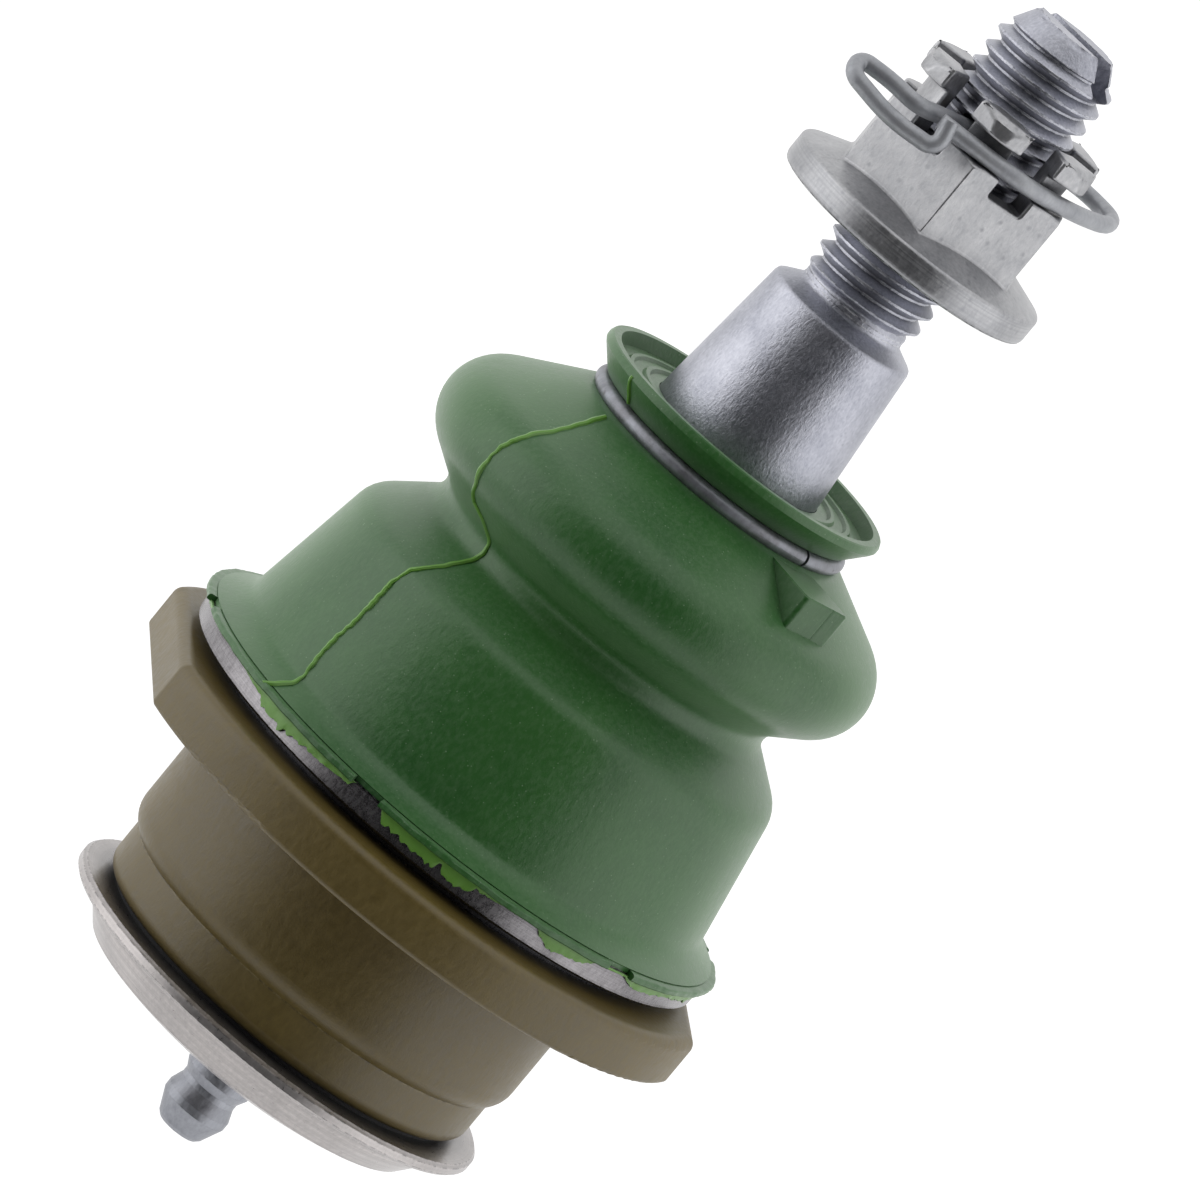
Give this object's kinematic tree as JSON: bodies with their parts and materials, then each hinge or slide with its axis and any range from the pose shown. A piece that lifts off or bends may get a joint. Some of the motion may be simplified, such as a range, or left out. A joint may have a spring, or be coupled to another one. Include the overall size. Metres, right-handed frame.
{
  "type": "suspension ball joint",
  "caption": "Press-in suspension ball joint with a swivelling tapered stud, dust boot, grease nipple, castle nut and wire lock clip.",
  "frame": {"origin": "on the stud's axis, in the plane of the flange's underside, where the flange seats on the control arm", "axes": "+Z along the stud to its threaded tip, -Y to the front, +X to the right"},
  "size_m": [0.0606, 0.0616, 0.1257],
  "materials": {
    "housing_coating": "matt olive-brown dipped coating",
    "sintered_iron": "oiled sintered iron",
    "spring_steel": "oiled spring steel",
    "zinc_plate": "satin zinc plate",
    "black_rubber": "matt",
    "turned_steel": "dark turned steel",
    "green_rubber": "matt moulded",
    "ring_wire": "zinc-plated wire",
    "stud_zinc": "grainy zinc plate",
    "nut_zinc": "grainy zinc plate",
    "clip_wire": "grey plated spring wire"
  },
  "bodies": {
    "housing": {"housing": "housing_coating", "upper_bearing": "sintered_iron", "lower_bearing": "sintered_iron", "spring_seat_washer": "spring_steel", "disc_spring_upper": "spring_steel", "disc_spring_lower": "spring_steel", "cover": "zinc_plate", "cover_seal": "black_rubber", "nipple_body": "zinc_plate", "nipple_spring": "spring_steel", "boot_base_ring": "turned_steel"},
    "boot": {"dust_boot": "green_rubber"},
    "collar": {"boot_clamp_ring": "ring_wire"},
    "stud": {"ball_stud": "stud_zinc", "castle_nut": "nut_zinc", "lock_clip": "clip_wire"},
    "check_ball": {"nipple_check_ball": "spring_steel"}
  },
  "joints": [
    {"name": "stud_tilt_forward", "type": "hinge", "parent": "housing", "child": "boot", "pos_m": [0, 0, -0.0035], "axis": [1, 0, 0], "range_deg": [-20, 20], "deforming": ["dust_boot"]},
    {"name": "stud_tilt_sideways", "type": "hinge", "parent": "boot", "child": "collar", "pos_m": [0, 0, -0.0035], "axis": [0, 1, 0], "range_deg": [-20, 20]},
    {"name": "stud_spin", "type": "hinge", "parent": "collar", "child": "stud", "pos_m": [0, 0, -0.0035], "axis": [0, 0, 1], "continuous": true},
    {"name": "nipple_ball_travel", "type": "slide", "parent": "housing", "child": "check_ball", "axis": [0, 0, 1], "range_m": [0, 0.001], "stiffness_N_per_m": 300, "springref_m": -0.002, "deforming": ["nipple_spring"]}
  ]
}
